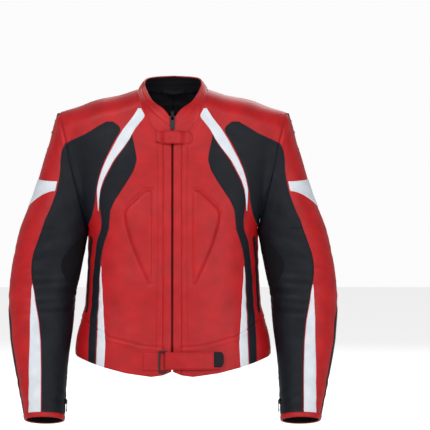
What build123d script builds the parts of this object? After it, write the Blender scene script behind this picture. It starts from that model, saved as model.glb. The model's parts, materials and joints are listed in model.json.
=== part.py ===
from build123d import *
import math
import os

os.makedirs("parts", exist_ok=True)

# ---------------------------------------------------------------- driving dimensions (mm)
LEATHER = 2.5            # leather with its lining
GAP = 2.5                # clear slot between parts that swing on each other
SEAM_Y = 0.0             # plane of the side seams, between front and back panels
REACH = 400.0            # longer than any cut needs
SECTION_POINTS = 12      # points round each torso section

FRONT_TOP_Y = 80.0       # centre front stands this far forward at the zip's top
ZIP_TOP_Z = -25.0
FRONT_SLOPE = 0.071      # the centre front leans forward towards the hem
HEM_Z = -568.0
SHOULDER_TIP = (239.0, -27.0)
TIP_SLOPE = 0.31         # fall of the shoulder line beyond its tip
NECK_SIDE = (66.0, 34.0)
ARMPIT = (178.0, -269.0)
NECK_RADII = (69.0, 73.0)         # half width and half depth of the neck opening in the shell
NECK_SHIFT = -5.0                 # the neck's middle lies this far in front of the side seams
COLLAR_RADII = (68.5, 72.5)
COLLAR_THICK = 3.0
COLLAR_SLIT = 36.0                # the collar parts in a V down to this far below the neck

# torso levels: height, half width, depth of the back
TORSO_LEVELS = [
    (60, 262, 66), (-27, 258, 84), (-110, 232, 108), (-269, 178, 112),
    (-350, 177, 100), (-430, 186, 98), (-520, 205, 106), (-600, 207, 110),
]
FULLNESS = 2.5           # exponent of the torso's rounded sections

# sleeve levels: height, inner side, outer side, middle in Y, half depth
SLEEVE_LEVELS = [
    (-27, 150, 243, 5, 42), (-90, 160, 261, 5, 57), (-170, 168, 284, 5, 63),
    (-269, 178, 322, 4, 65), (-340, 191, 338, 2, 62), (-410, 205, 344, -3, 58),
    (-500, 214, 340, -16, 52), (-590, 223, 323, -38, 45), (-700, 228, 297, -72, 36),
]

RAISE_PIVOT = (262.0, -235.0)     # x, z of the fold under the shoulder cap
RAISE_RANGE = 50.0
ELBOW = (-3.0, -405.0)            # y, z of the elbow's axis
ELBOW_RANGE = 70.0
CUFF_FRONT = (-108.0, -655.0)     # y, z where the cuff's edge is highest
CUFF_BACK = (-18.0, -678.0)
CUFF_BAND = 10.0

ZIP_GAP = 2.0            # half the slot between the two front edges
PLACKET = 18.0
ZIP_LENGTH = 490.0
SLIDER_DROP = 8.0        # slider centre below the top of the zip
PULL_LENGTH = 27.0
SIDES = (("left", 1), ("right", -1))


def front_depth(z):
    """How far the centre front stands forward of the side seams at a height."""
    return FRONT_TOP_Y + FRONT_SLOPE * (ZIP_TOP_Z - z)


def body_section(z, half_width, back, grow):
    """Points of a rounded torso section, front and back of different depth."""
    points = []
    for step in range(SECTION_POINTS):
        turn = math.radians(step * 360 / SECTION_POINTS)
        c, s = math.cos(turn), math.sin(turn)
        depth = (front_depth(z) if s < 0 else back) + grow
        x = (half_width + grow) * math.copysign(abs(c) ** (2 / FULLNESS), c)
        y = depth * math.copysign(abs(s) ** (2 / FULLNESS), s)
        points.append((x, y))
    return points


def torso_form(grow):
    """The torso's whole body, larger or smaller than the leather's outside by grow."""
    with BuildPart() as form:
        for z, half_width, back in TORSO_LEVELS:
            with BuildSketch(Plane.XY.offset(z)):
                with BuildLine():
                    Spline(*body_section(z, half_width, back, grow), periodic=True)
                make_face()
        loft()
    return form.part


def front_view(points, y_from, y_to):
    """A prism of an outline seen from the front, between two depths."""
    with BuildPart() as prism:
        with BuildSketch(Plane.XZ.offset(-y_to)):
            with BuildLine():
                Polyline(*points, close=True)
            make_face()
        extrude(amount=y_to - y_from)
    return prism.part


def side_view(points):
    """A prism of an outline seen from the side, across the whole jacket."""
    with BuildPart() as prism:
        with BuildSketch(Plane.YZ.offset(-REACH)):
            with BuildLine():
                Polyline(*points, close=True)
            make_face()
        extrude(amount=2 * REACH)
    return prism.part


def both_sides(piece):
    """The wearer's left piece and its mirror image on the right."""
    return {1: piece, -1: mirror(piece, about=Plane.YZ)}


def save(piece, name):
    """Labels a finished piece and writes its file."""
    piece.label = name
    export_step(piece, f"parts/{name}.step")


# ---------------------------------------------------------------- torso shell and collar
def shoulder_outline(drop, overrun):
    """Front outline of the left half; the hollow's is lower by the leather and runs out at the armhole."""
    tip_x, tip_z = SHOULDER_TIP
    return [
        (0, 60), (NECK_SIDE[0] - 30, 46 - drop), (NECK_SIDE[0], NECK_SIDE[1] - drop),
        (110, 13 - drop), (tip_x + overrun, tip_z - drop - overrun * TIP_SLOPE),
        (ARMPIT[0] + overrun, ARMPIT[1]), (ARMPIT[0] + 40, -300), (260, -620), (0, -620),
    ]


torso_outer = torso_form(0)
torso_inner = torso_form(-LEATHER)

with BuildPart() as neck_column:
    with BuildSketch(Plane.XY.offset(-REACH / 2)):
        with Locations((0, NECK_SHIFT)):
            Ellipse(*NECK_RADII)
    extrude(amount=REACH)

with BuildPart() as torso_half:
    add(torso_outer)
    add(front_view(shoulder_outline(0, 0), -REACH, REACH), mode=Mode.INTERSECT)

with BuildPart() as torso_hollow:
    add(torso_inner)
    add(front_view(shoulder_outline(LEATHER, 25), -REACH, REACH), mode=Mode.INTERSECT)

HEM_EDGE = [
    (ZIP_GAP, 70), (ZIP_GAP, -564), (43, -573), (95, -567), (170, -546), (300, -540), (300, 70),
]
with BuildPart() as half_shell:
    add(torso_half.part)
    add(torso_hollow.part, mode=Mode.SUBTRACT)
    add(neck_column.part, mode=Mode.SUBTRACT)

with BuildPart() as front_shell:
    add(half_shell.part)
    add(front_view(HEM_EDGE, -REACH, SEAM_Y), mode=Mode.INTERSECT)

with BuildPart() as back_shell:
    add(half_shell.part)
    add(front_view([(0, 70), (0, HEM_Z), (300, HEM_Z), (300, 70)], SEAM_Y, REACH), mode=Mode.INTERSECT)

# boundaries of the front panels, from the collar to the hem (x, z)
STRIPE_INNER = [(55, -37), (76, -63), (96, -95), (131, -147), (149, -189), (153, -235)]
STRIPE_OUTER = [(72, -17), (103, -63), (126, -105), (146, -147), (159, -189), (153, -235)]
BLACK_INNER = [(76, -105), (71, -126), (80, -155), (117, -210), (129, -240), (130, -270),
               (143, -310), (147, -350), (150, -420), (150, -510), (150, -600)]
BLACK_OUTER = [(153, -235), (147, -262), (160, -300), (166, -378), (169, -450), (175, -600)]
WAIST_STRIPE = [(147, -350), (144, -440), (137, -510), (142, -600)]
HEM_SEAM = [(250, -440), (200, -450), (130, -494), (40, -515), (PLACKET, -516)]
FRONT_PANELS = {
    "placket": [(0, 70), (PLACKET, 70), (PLACKET, -516), (PLACKET, -600), (0, -600)],
    "front_panel": [(PLACKET, 70), (72, 70), STRIPE_OUTER[0], *STRIPE_INNER[:3], *BLACK_INNER[:8],
                    *WAIST_STRIPE[1:3], (130, -494), (40, -515), (PLACKET, -516)],
    "front_hem_band": [(PLACKET, -516), (40, -515), (130, -494), *WAIST_STRIPE[2:], (PLACKET, -600)],
    "chest_stripe": [*STRIPE_INNER, *reversed(STRIPE_OUTER[:-1])],
    "waist_stripe": [*WAIST_STRIPE, *reversed(BLACK_INNER[8:])],
    "chest_black": [*STRIPE_INNER[2:], *BLACK_OUTER[1:], *reversed(BLACK_INNER)],
    "shoulder_black": [STRIPE_OUTER[1], (122, -52), (140, -50), (161, -63), (196, -84), (240, -97),
                       (240, -150), (184, -262), (158, -215), *reversed(STRIPE_OUTER[2:5])],
    "shoulder_red": [(72, 70), (300, 70), (300, -97), (240, -97), (196, -84), (161, -63), (140, -50),
                     (122, -52), STRIPE_OUTER[1], STRIPE_OUTER[0]],
    "side_front": [*BLACK_OUTER, (300, -600), (300, -262), (184, -262), (158, -215), STRIPE_OUTER[4]],
}
BACK_STRIPE_INNER = [(42, 70), (42, 27), (65, -27), (105, -96), (136, -151), (144, -200)]
BACK_STRIPE_OUTER = [(70, 70), (70, 27), (93, -27), (131, -96), (148, -151), (144, -200)]
BACK_BLACK_INNER = [(105, -96), (94, -135), (136, -263), (137, -305), (155, -430), (166, -600)]
BACK_BLACK_OUTER = [(144, -200), (150, -290), (163, -430), (180, -600)]
BACK_WAIST_STRIPE = [(137, -305), (133, -430), (137, -600)]
YOKE_LOW = -72.0


def on_edge(start, end, z):
    """The point at a height on a straight edge."""
    share = (z - start[1]) / (end[1] - start[1])
    return (start[0] + share * (end[0] - start[0]), z)


YOKE_CORNER = on_edge(BACK_STRIPE_OUTER[2], BACK_STRIPE_OUTER[3], YOKE_LOW)
BACK_PANELS = {
    "back_panel": [(0, 70), *BACK_STRIPE_INNER[:4], *BACK_BLACK_INNER[1:4], *BACK_WAIST_STRIPE[1:],
                   (0, -600)],
    "back_stripe": [*BACK_STRIPE_INNER, *reversed(BACK_STRIPE_OUTER[:-1])],
    "back_waist_stripe": [*BACK_WAIST_STRIPE, *reversed(BACK_BLACK_INNER[4:])],
    "back_black": [*BACK_STRIPE_INNER[3:], *BACK_BLACK_OUTER[1:], *reversed(BACK_BLACK_INNER[1:])],
    "back_shoulder_black": [YOKE_CORNER, (300, -76), (300, -140), (170, -262), (144, -200), (148, -151),
                            (131, -96)],
    "back_shoulder_red": [*BACK_STRIPE_OUTER[:3], YOKE_CORNER, (300, -76), (300, 70)],
    "side_back": [(144, -200), (170, -262), (300, -140), (300, -600), *reversed(BACK_BLACK_OUTER[1:])],
}

PAIRS_BY_SIDE = ("placket", "front_panel", "front_hem_band")
cut_panels = {}
for panels, shell, y_from, y_to in (
    (FRONT_PANELS, front_shell.part, -REACH, SEAM_Y),
    (BACK_PANELS, back_shell.part, SEAM_Y, REACH),
):
    for name, outline in panels.items():
        with BuildPart() as panel:
            add(shell)
            add(front_view(outline, y_from, y_to), mode=Mode.INTERSECT)
        cut_panels[name] = both_sides(panel.part)

NODE_OF_PANEL = {
    "shoulder_red": "shoulder_yokes", "back_shoulder_red": "shoulder_yokes",
    "side_front": "side_panels", "side_back": "side_panels",
}
joined_panels = {}
for name, pair in cut_panels.items():
    if name in PAIRS_BY_SIDE:
        for side, sign in SIDES:
            save(pair[sign], f"{name}_{side}")
    else:
        joined_panels.setdefault(NODE_OF_PANEL.get(name, name), []).extend(pair.values())

for name, pieces in joined_panels.items():
    with BuildPart() as joined:
        add(pieces)
    save(joined.part, name)

# the standing collar: a band round the neck, cut to its slanting edges
with BuildPart() as collar:
    with BuildSketch(Plane.XY.offset(-REACH / 2)):
        with Locations((0, NECK_SHIFT)):
            Ellipse(*COLLAR_RADII)
            Ellipse(COLLAR_RADII[0] - COLLAR_THICK, COLLAR_RADII[1] - COLLAR_THICK, mode=Mode.SUBTRACT)
    extrude(amount=REACH)
    add(side_view([(75, 58), (-8, 36), (-60, -20), (-90, -42), (-90, -92), (-60, -78), (-8, -6), (75, 10)]),
        mode=Mode.INTERSECT)
    add(front_view([(0, -COLLAR_SLIT), (-30, 70), (30, 70)], -REACH, -20), mode=Mode.SUBTRACT)
    add(front_view([(-ZIP_GAP, 70), (-ZIP_GAP, -120), (ZIP_GAP, -120), (ZIP_GAP, 70)], -REACH, -20),
        mode=Mode.SUBTRACT)
save(collar.part, "collar")

LOOP_LENGTH = 44.0
LOOP_TAPE = (2.0, 8.0)
with BuildPart() as hanger_loop:
    with BuildSketch(Plane.YZ.offset(-LOOP_LENGTH / 2)):
        with Locations((56, 22)):
            Rectangle(*LOOP_TAPE)
    extrude(amount=LOOP_LENGTH)
save(hanger_loop.part, "hanger_loop")

# ---------------------------------------------------------------- raised pads and the waist strap
def raised(outline, low, high, y_from, y_to):
    """A piece lying on the leather, between two heights above it, with an outline seen from the front."""
    with BuildPart() as piece:
        add(torso_form(high))
        add(torso_form(low), mode=Mode.SUBTRACT)
        add(front_view(outline, y_from, y_to), mode=Mode.INTERSECT)
    return piece.part


PAD_HEIGHT = 1.5
CHEST_PAD = [(39, -190), (75, -200), (100, -237), (84, -300), (49, -386), (39, -375)]
with BuildPart() as chest_pads:
    add(list(both_sides(raised(CHEST_PAD, 0, PAD_HEIGHT, -REACH, SEAM_Y)).values()))
save(chest_pads.part, "chest_pads")

BACK_PAD = [(0, -22), (36, -32), (52, -77), (36, -120), (0, -132)]
with BuildPart() as back_pad:
    add(list(both_sides(raised(BACK_PAD, 0, PAD_HEIGHT, SEAM_Y, REACH)).values()))
save(back_pad.part, "back_pad")

STRAP_TOP, STRAP_BOTTOM = -523, -560
# heights of the strap's layers above the leather: keeper, loop, strap and patch
KEEPER_FACES = (0.0, 1.2)
LOOP_FACES = (1.7, 4.1)
STRAP_FACES = (4.6, 6.9)
PATCH_FACES = (6.9, 8.1)
LOOP_IN, LOOP_OUT = -11.0, -28.0
STRAP_END = 107.0
STRAP = [(LOOP_IN - 3, STRAP_TOP - 3), (STRAP_END, STRAP_TOP), (STRAP_END, STRAP_BOTTOM + 6),
         (LOOP_IN - 3, STRAP_BOTTOM + 1)]
PATCH = [(86, STRAP_TOP + 0.5), (STRAP_END - 1, STRAP_TOP + 0.5), (STRAP_END - 1, -554), (86, -554)]
LOOP = [(LOOP_OUT, -520), (LOOP_IN, -520), (LOOP_IN, -566), (LOOP_OUT, -566)]
LOOP_HOLE = [(LOOP_OUT + 4, -524), (LOOP_IN - 4, -524), (LOOP_IN - 4, -562), (LOOP_OUT + 4, -562)]
KEEPER = [(60, -524), (-LOOP_OUT - 5, -524), (-LOOP_OUT - 5, -561), (60, -561)]
save(raised(STRAP, *STRAP_FACES, -REACH, SEAM_Y), "waist_strap")
save(raised(PATCH, *PATCH_FACES, -REACH, SEAM_Y), "strap_end_patch")
save(both_sides(raised(KEEPER, *KEEPER_FACES, -REACH, SEAM_Y))[-1], "strap_keeper")
with BuildPart() as strap_loop:
    add(raised(LOOP, *LOOP_FACES, -REACH, SEAM_Y))
    add(front_view(LOOP_HOLE, -REACH, SEAM_Y), mode=Mode.SUBTRACT)
save(strap_loop.part, "strap_loop")

# ---------------------------------------------------------------- centre front zip and throat tab
ZIP_TILT = math.atan(FRONT_SLOPE)
ZIP_PLANE = Plane(
    origin=(0, -front_depth(ZIP_TOP_Z), ZIP_TOP_Z), x_dir=(1, 0, 0),
    z_dir=(0, -math.cos(ZIP_TILT), math.sin(ZIP_TILT)),
)
TAPE_WIDTH = 24.0
TAPE_FRONT = -LEATHER - 0.3       # the tape lies behind the leather
TAPE_THICK = 0.6
ZIP_TOP_SPARE = 20.0     # the chain starts this far below the zip's top
CHAIN_WIDTH = 3.2
CHAIN_FRONT = -1.2       # the teeth lie a little behind the leather's face


def zip_block(width, low, high, top, bottom):
    """A bar along the zip: its width, its faces above the leather, and its ends down the zip."""
    with BuildPart() as bar:
        with BuildSketch(ZIP_PLANE.offset(low)):
            with Locations((0, -(top + bottom) / 2)):
                Rectangle(width, bottom - top)
        extrude(amount=high - low)
    return bar.part


with BuildPart() as zip_tape:
    add(zip_block(TAPE_WIDTH, TAPE_FRONT - TAPE_THICK, TAPE_FRONT, ZIP_TOP_SPARE, ZIP_LENGTH))
save(zip_tape.part, "zip_tape")
with BuildPart() as zip_chain:
    add(zip_block(CHAIN_WIDTH, TAPE_FRONT, CHAIN_FRONT, ZIP_TOP_SPARE, ZIP_LENGTH))
save(zip_chain.part, "zip_chain")

EYE_RADIUS = 0.95
PIN_RADIUS = 0.85
ARM_GAP = 2.6            # the pull's arms stand this far each side of the middle
PULL_WIDTH = 10.0
PULL_PIVOT = (SLIDER_DROP + 5.0, 4.7)     # down the zip, out from the leather


def across_zip(down, out):
    """A plane across the zip at a place on it, for holes and pins through slider and pull."""
    turned = Plane(origin=ZIP_PLANE.origin, x_dir=ZIP_PLANE.z_dir, z_dir=(1, 0, 0))
    return Plane(origin=turned.origin - ZIP_PLANE.y_dir * down + ZIP_PLANE.z_dir * out,
                 x_dir=turned.x_dir, z_dir=(1, 0, 0))


with BuildPart() as zip_slider:
    add(zip_block(11, 0.6, 2.4, SLIDER_DROP - 8, SLIDER_DROP + 8))
    add(zip_block(2.6, CHAIN_FRONT + 0.3, 0.6, SLIDER_DROP - 6, SLIDER_DROP + 6))
    add(zip_block(4.0, 2.4, 7.0, PULL_PIVOT[0] - 2.4, PULL_PIVOT[0] + 2.4))
    with BuildSketch(across_zip(*PULL_PIVOT)):
        Circle(EYE_RADIUS)
    extrude(amount=10, both=True, mode=Mode.SUBTRACT)
save(zip_slider.part, "zip_slider")

with BuildPart() as zip_pull:
    add(zip_block(PULL_WIDTH, PULL_PIVOT[1] - 0.9, PULL_PIVOT[1] + 0.9, PULL_PIVOT[0] - 1.2,
                  PULL_PIVOT[0] + PULL_LENGTH))
    add(zip_block(2 * ARM_GAP, 0, 10, PULL_PIVOT[0] - 5, PULL_PIVOT[0] + 8), mode=Mode.SUBTRACT)
    with BuildSketch(across_zip(*PULL_PIVOT)):
        Circle(PIN_RADIUS)
    extrude(amount=ARM_GAP + 0.5, both=True)
save(zip_pull.part, "zip_pull")

TAB_TOP, TAB_BOTTOM = 45.0, 71.0          # down the zip
TAB_LEFT, TAB_RIGHT = -34.0, 42.0
TAB_ARCH = 10.0
TAB_THICK = 2.4
TAB_UNDER = [(TAB_RIGHT, 1.0), (28, 1.0), (14, TAB_ARCH), (-14, TAB_ARCH), (-25, 2.0), (TAB_LEFT, 2.0)]
with BuildPart() as throat_tab:
    tab_end = Plane(origin=ZIP_PLANE.origin, x_dir=(1, 0, 0), z_dir=-ZIP_PLANE.y_dir)
    with BuildSketch(tab_end.offset(TAB_TOP)):
        with BuildLine():
            Polyline(*TAB_UNDER, *[(x, out + TAB_THICK) for x, out in reversed(TAB_UNDER)], close=True)
        make_face()
    extrude(amount=TAB_BOTTOM - TAB_TOP)
save(throat_tab.part, "throat_tab")

# ---------------------------------------------------------------- side pocket zips
POCKET_HEIGHT = 1.0
POCKET_BAND = [(163, -285), (171, -285), (181, -445), (173, -445)]
POCKET_TOP = Vector(168.2, -46.2, -294)
POCKET_END = Vector(178.6, -51.4, -432)
POCKET_OUT = Vector(0.856, -0.517, 0)
SMALL_LIFT = 2.6         # the small sliders' backs stand this far off the leather
SMALL_PLATE = (11.0, 7.0, 2.2)
SMALL_PULL = (24.0, 5.0, 1.6)
SMALL_PULL_SHIFT = 13.0
with BuildPart() as pocket_zips:
    add(list(both_sides(raised(POCKET_BAND, 0, POCKET_HEIGHT, -REACH, SEAM_Y)).values()))
save(pocket_zips.part, "pocket_zips")


def small_slider(top, end, out, name):
    """A slider with its pull hanging along the zip, lying a little above the leather."""
    line = (end - top).normalized()
    face = Plane(
        origin=top + out * SMALL_LIFT, x_dir=line, z_dir=(out - line * out.dot(line)).normalized(),
    )
    with BuildPart() as slider:
        with BuildSketch(face):
            Rectangle(SMALL_PLATE[0], SMALL_PLATE[1])
        extrude(amount=SMALL_PLATE[2])
        with BuildSketch(face.offset(SMALL_PLATE[2])):
            with Locations((SMALL_PULL_SHIFT, 0)):
                RectangleRounded(SMALL_PULL[0], SMALL_PULL[1], 2)
        extrude(amount=SMALL_PULL[2])
    for side, sign in SIDES:
        save(both_sides(slider.part)[sign], f"{name}_{side}")


small_slider(POCKET_TOP, POCKET_END, POCKET_OUT, "pocket_slider")

# ---------------------------------------------------------------- sleeves
def sleeve_form(grow):
    """One sleeve's whole body, larger or smaller than the leather's outside by grow."""
    with BuildPart() as form:
        for z, inner, outer, middle, half_depth in SLEEVE_LEVELS:
            with BuildSketch(Plane.XY.offset(z)):
                with Locations(((inner + outer) / 2, middle)):
                    Ellipse((outer - inner) / 2 + grow, half_depth + grow)
        loft()
    return form.part


def elbow_ray(degrees, length):
    """A point on a ray from the elbow's axis, seen from the side; 0 points to the back."""
    turn = math.radians(degrees)
    return (ELBOW[0] + length * math.cos(turn), ELBOW[1] + length * math.sin(turn))


def raise_ray(degrees, length):
    """A point on a ray from the raise fold's axis, seen from the front; 0 points outwards."""
    turn = math.radians(degrees)
    return (RAISE_PIVOT[0] + length * math.cos(turn), RAISE_PIVOT[1] + length * math.sin(turn))


FOLD_SPARE = 4.0         # degrees left over at each fold's limit
FOLD_MIDDLE = 12.0       # degrees above the level where the shoulder's fold has its middle
FOLD_TOP = FOLD_MIDDLE + RAISE_RANGE / 2 + FOLD_SPARE
FOLD_BOTTOM = FOLD_MIDDLE - RAISE_RANGE / 2 - FOLD_SPARE
ELBOW_TOP = 180.0 - ELBOW_RANGE / 2 - FOLD_SPARE
ELBOW_BOTTOM = 180.0 + ELBOW_RANGE / 2 + FOLD_SPARE
ARM_LINE = (120.0, -292.0)        # where the line through the armpit meets the torso's middle
CUFF_SLOPE = (CUFF_BACK[1] - CUFF_FRONT[1]) / (CUFF_BACK[0] - CUFF_FRONT[0])


def cuff_edge(y, up):
    """Height of the cuff's slanting edge at a depth."""
    return CUFF_FRONT[1] + CUFF_SLOPE * (y - CUFF_FRONT[0]) + up


SLEEVE_SPARE = 0.2       # the sleeve's head stands this far off the torso's armhole
SLEEVE_OUTLINE = [
    (SHOULDER_TIP[0] + SLEEVE_SPARE, 0), (SHOULDER_TIP[0] + SLEEVE_SPARE, SHOULDER_TIP[1]),
    (ARMPIT[0] + SLEEVE_SPARE, ARMPIT[1]), (176, -330), (176, -720), (400, -720), (400, 0),
]
BELOW_CUFF = [
    (-REACH, cuff_edge(-REACH, 0)), (REACH, cuff_edge(REACH, 0)), (REACH, -900), (-REACH, -900),
]
with BuildPart() as sleeve_shell:
    add(sleeve_form(0))
    add(sleeve_form(-LEATHER), mode=Mode.SUBTRACT)
    add(front_view(SLEEVE_OUTLINE, -REACH, REACH), mode=Mode.INTERSECT)
    add(side_view(BELOW_CUFF), mode=Mode.SUBTRACT)

CAP_ZONE = [raise_ray(0, 0), ARM_LINE, (120, 20), (400, 20), raise_ray(FOLD_TOP, 160)]
FOLD_ZONE = [raise_ray(0, 0), raise_ray(FOLD_TOP, 120), raise_ray(FOLD_BOTTOM, 120)]
ARM_ZONE = [(RAISE_PIVOT[0], RAISE_PIVOT[1] - GAP), (ARM_LINE[0], ARM_LINE[1] - GAP), (120, -720),
            (400, -720), raise_ray(FOLD_BOTTOM, 160)]
UPPER_ZONE = [elbow_ray(0, 0), elbow_ray(0, 150), (160, 0), (-160, 0), elbow_ray(ELBOW_TOP, 160)]
GUSSET_ZONE = [elbow_ray(0, 0), elbow_ray(ELBOW_TOP, 120), elbow_ray(ELBOW_BOTTOM, 120)]
LOWER_ZONE = [(ELBOW[0], ELBOW[1] - GAP), (150, ELBOW[1] - GAP), (150, -800), (-200, -800),
              elbow_ray(ELBOW_BOTTOM, 160)]
# the line between the sleeve's front and back (y, z)
SPLIT = [(5, 20), (4, -269), (-3, -410), (-16, -500), (-38, -590), (-72, -700)]
FRONT_HALF = [*SPLIT, (-REACH, -700), (-REACH, 20)]
BACK_HALF = [*SPLIT, (REACH, -700), (REACH, 20)]
ARM_BLACK = [(300, 20), (237, -97), (230, -126), (237, -168), (256, -231), (273, -273), (294, -336),
             (293, -378), (281, -441), (272, -525), (270, -720)]
FOREARM_STRIPE = [(293, -378), (295, -450), (298, -600), (298, -720)]


def sleeve_piece(shell, *zones):
    """The part of a sleeve's shell that lies in every one of the zones."""
    with BuildPart() as piece:
        add(shell)
        for zone in zones:
            add(zone, mode=Mode.INTERSECT)
    return piece.part


cap = sleeve_piece(sleeve_shell.part, front_view(CAP_ZONE, -REACH, REACH))
shoulder_fold = sleeve_piece(sleeve_shell.part, front_view(FOLD_ZONE, -REACH, REACH))
arm = sleeve_piece(sleeve_shell.part, front_view(ARM_ZONE, -REACH, REACH))
upper_arm = sleeve_piece(arm, side_view(UPPER_ZONE))
elbow_gusset = sleeve_piece(arm, side_view(GUSSET_ZONE))
forearm = sleeve_piece(arm, side_view(LOWER_ZONE))

black_side = front_view([*ARM_BLACK, (100, -720), (100, 20)], -REACH, REACH)
red_side = front_view([*ARM_BLACK, (420, -720), (420, 20)], -REACH, REACH)
front_half = side_view(FRONT_HALF)
back_half = side_view(BACK_HALF)
CAP_BACK = [(100, -75), (400, -75), (400, -500), (100, -500)]
CAP_BACK_TOP = [(100, -75), (400, -75), (400, 60), (100, 60)]
PATCH_BAND = [(200, -170), (420, -170), (420, -275), (290, -226), (240, -197), (200, -190)]
ABOVE_PATCH = [(200, -170), (420, -170), (420, 60), (200, 60)]
BELOW_PATCH = [(200, -190), (240, -197), (290, -226), (420, -275), (420, -400), (200, -400)]
band_top = [(-REACH, cuff_edge(-REACH, CUFF_BAND)), (REACH, cuff_edge(REACH, CUFF_BAND))]
cuff_zone = side_view([*band_top, (REACH, -900), (-REACH, -900)])
above_cuff = side_view([*band_top, (REACH, 0), (-REACH, 0)])
stripe_zone = front_view([*FOREARM_STRIPE, *reversed(ARM_BLACK[7:])], -REACH, REACH)
outer_zone = front_view([*FOREARM_STRIPE, (420, -720), (420, -300), (294, -300), (294, -336)], -REACH, REACH)


def seen(outline):
    """A front-view outline through the whole sleeve."""
    return front_view(outline, -REACH, REACH)


def group(*pieces):
    """Several solids of one sub-part in one part."""
    with BuildPart() as joined:
        add([solid for piece in pieces for solid in piece.solids()])
    return joined.part


cap_front = sleeve_piece(cap, front_half)
cap_back = sleeve_piece(cap, back_half)
CAP_NODES = {
    "cap_black": group(sleeve_piece(cap_front, black_side), sleeve_piece(cap_back, seen(CAP_BACK))),
    "cap_red": group(
        sleeve_piece(cap_front, red_side, seen(ABOVE_PATCH)),
        sleeve_piece(cap_front, red_side, seen(BELOW_PATCH)),
        sleeve_piece(cap_back, seen(CAP_BACK_TOP)),
    ),
    "biceps_patches": sleeve_piece(cap_front, red_side, seen(PATCH_BAND)),
}
for name, piece in CAP_NODES.items():
    with BuildPart() as joined:
        add(list(both_sides(piece).values()))
    save(joined.part, name)

cuffless = sleeve_piece(forearm, above_cuff)
forearm_front = sleeve_piece(cuffless, front_half)
ARM_NODES = {
    "shoulder_fold": shoulder_fold,
    "upper_sleeve_black": sleeve_piece(upper_arm, front_half, black_side),
    "upper_sleeve_red": sleeve_piece(upper_arm, front_half, red_side),
    "upper_sleeve_back": sleeve_piece(upper_arm, back_half),
    "elbow_gusset": elbow_gusset,
    "forearm_black": sleeve_piece(forearm_front, black_side),
    "forearm_stripe": sleeve_piece(forearm_front, stripe_zone),
    "forearm_red": sleeve_piece(forearm_front, outer_zone),
    "forearm_back": sleeve_piece(cuffless, back_half),
    "cuff_band": sleeve_piece(forearm, cuff_zone),
}
for name, piece in ARM_NODES.items():
    for side, sign in SIDES:
        save(both_sides(piece)[sign], f"{name}_{side}")

# ---------------------------------------------------------------- cuff zips, on the inner side of forearms
CUFF_TOP = Vector(222.2, -37.0, -585)
CUFF_END = Vector(225.4, -56.0, -648)
CUFF_OUT = Vector(-1, 0, 0)
CUFF_BAND_ZONE = [(-33, -575), (-27, -577), (-51, -662), (-59, -659)]
CUFF_ZIP_HEIGHT = 1.0
with BuildPart() as cuff_zip:
    add(sleeve_form(CUFF_ZIP_HEIGHT))
    add(sleeve_form(0), mode=Mode.SUBTRACT)
    add(side_view(CUFF_BAND_ZONE), mode=Mode.INTERSECT)
    add(seen([(180, -500), (250, -500), (250, -720), (180, -720)]), mode=Mode.INTERSECT)
for side, sign in SIDES:
    save(both_sides(cuff_zip.part)[sign], f"cuff_zip_{side}")
small_slider(CUFF_END, CUFF_TOP, CUFF_OUT, "cuff_slider")
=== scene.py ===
import bpy
import bmesh
import bisect
import json
import math
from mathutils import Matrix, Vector, noise


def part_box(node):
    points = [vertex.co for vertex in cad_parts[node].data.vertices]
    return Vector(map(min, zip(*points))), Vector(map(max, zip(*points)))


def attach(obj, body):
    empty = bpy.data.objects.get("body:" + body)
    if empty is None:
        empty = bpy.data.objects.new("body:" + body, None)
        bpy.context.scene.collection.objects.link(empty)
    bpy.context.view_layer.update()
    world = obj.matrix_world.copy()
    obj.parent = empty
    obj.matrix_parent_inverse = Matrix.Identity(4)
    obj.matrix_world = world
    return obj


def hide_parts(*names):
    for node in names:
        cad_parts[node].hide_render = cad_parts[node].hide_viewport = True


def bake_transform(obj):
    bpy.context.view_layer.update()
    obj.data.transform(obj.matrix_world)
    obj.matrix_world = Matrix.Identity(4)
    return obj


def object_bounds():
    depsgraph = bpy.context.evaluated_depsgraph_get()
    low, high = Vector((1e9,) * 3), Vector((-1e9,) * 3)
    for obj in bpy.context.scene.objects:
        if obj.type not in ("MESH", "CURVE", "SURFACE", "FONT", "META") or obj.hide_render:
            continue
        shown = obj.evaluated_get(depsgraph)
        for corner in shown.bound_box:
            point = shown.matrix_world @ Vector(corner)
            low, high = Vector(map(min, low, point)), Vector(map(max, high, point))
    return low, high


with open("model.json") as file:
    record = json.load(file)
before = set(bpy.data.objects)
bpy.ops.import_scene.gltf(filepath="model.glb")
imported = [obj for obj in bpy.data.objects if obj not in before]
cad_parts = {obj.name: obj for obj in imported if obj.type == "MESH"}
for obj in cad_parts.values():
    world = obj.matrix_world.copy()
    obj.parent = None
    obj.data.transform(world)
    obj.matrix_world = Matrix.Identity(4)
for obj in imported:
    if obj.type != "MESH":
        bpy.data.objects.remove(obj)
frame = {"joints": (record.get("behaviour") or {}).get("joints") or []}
CAD_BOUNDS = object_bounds()

bl_info = {
    "name": "Riding jacket",
    "version": (1, 0, 0),
    "blender": (4, 5, 0),
    "location": "View3D > Sidebar > Jacket",
    "description": "Builds a short leather riding jacket from its sewn panels",
    "category": "Object",
}

MM = 0.001
SIDES = (1, -1)                  # left, right
RED_THREAD = "#A3131A"
WAVE_SCALE = 0.314               # the scale at which a wave texture has one band for each unit
JOINTS = {j["name"]: j for j in frame["joints"]}

# ------------------------------------------------------------ the pattern's levels and outlines, in mm
# torso: height, half width, depth of the front, depth of the back
TORSO = [
    (-620, 207, 122, 110), (-570, 206, 118, 109), (-520, 205, 115, 106), (-430, 186, 109, 98),
    (-350, 178, 104, 100), (-269, 178, 100, 111), (-190, 205, 93, 110), (-110, 232, 88, 106),
    (-27, 258, 80, 84), (60, 262, 74, 66),
]
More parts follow.
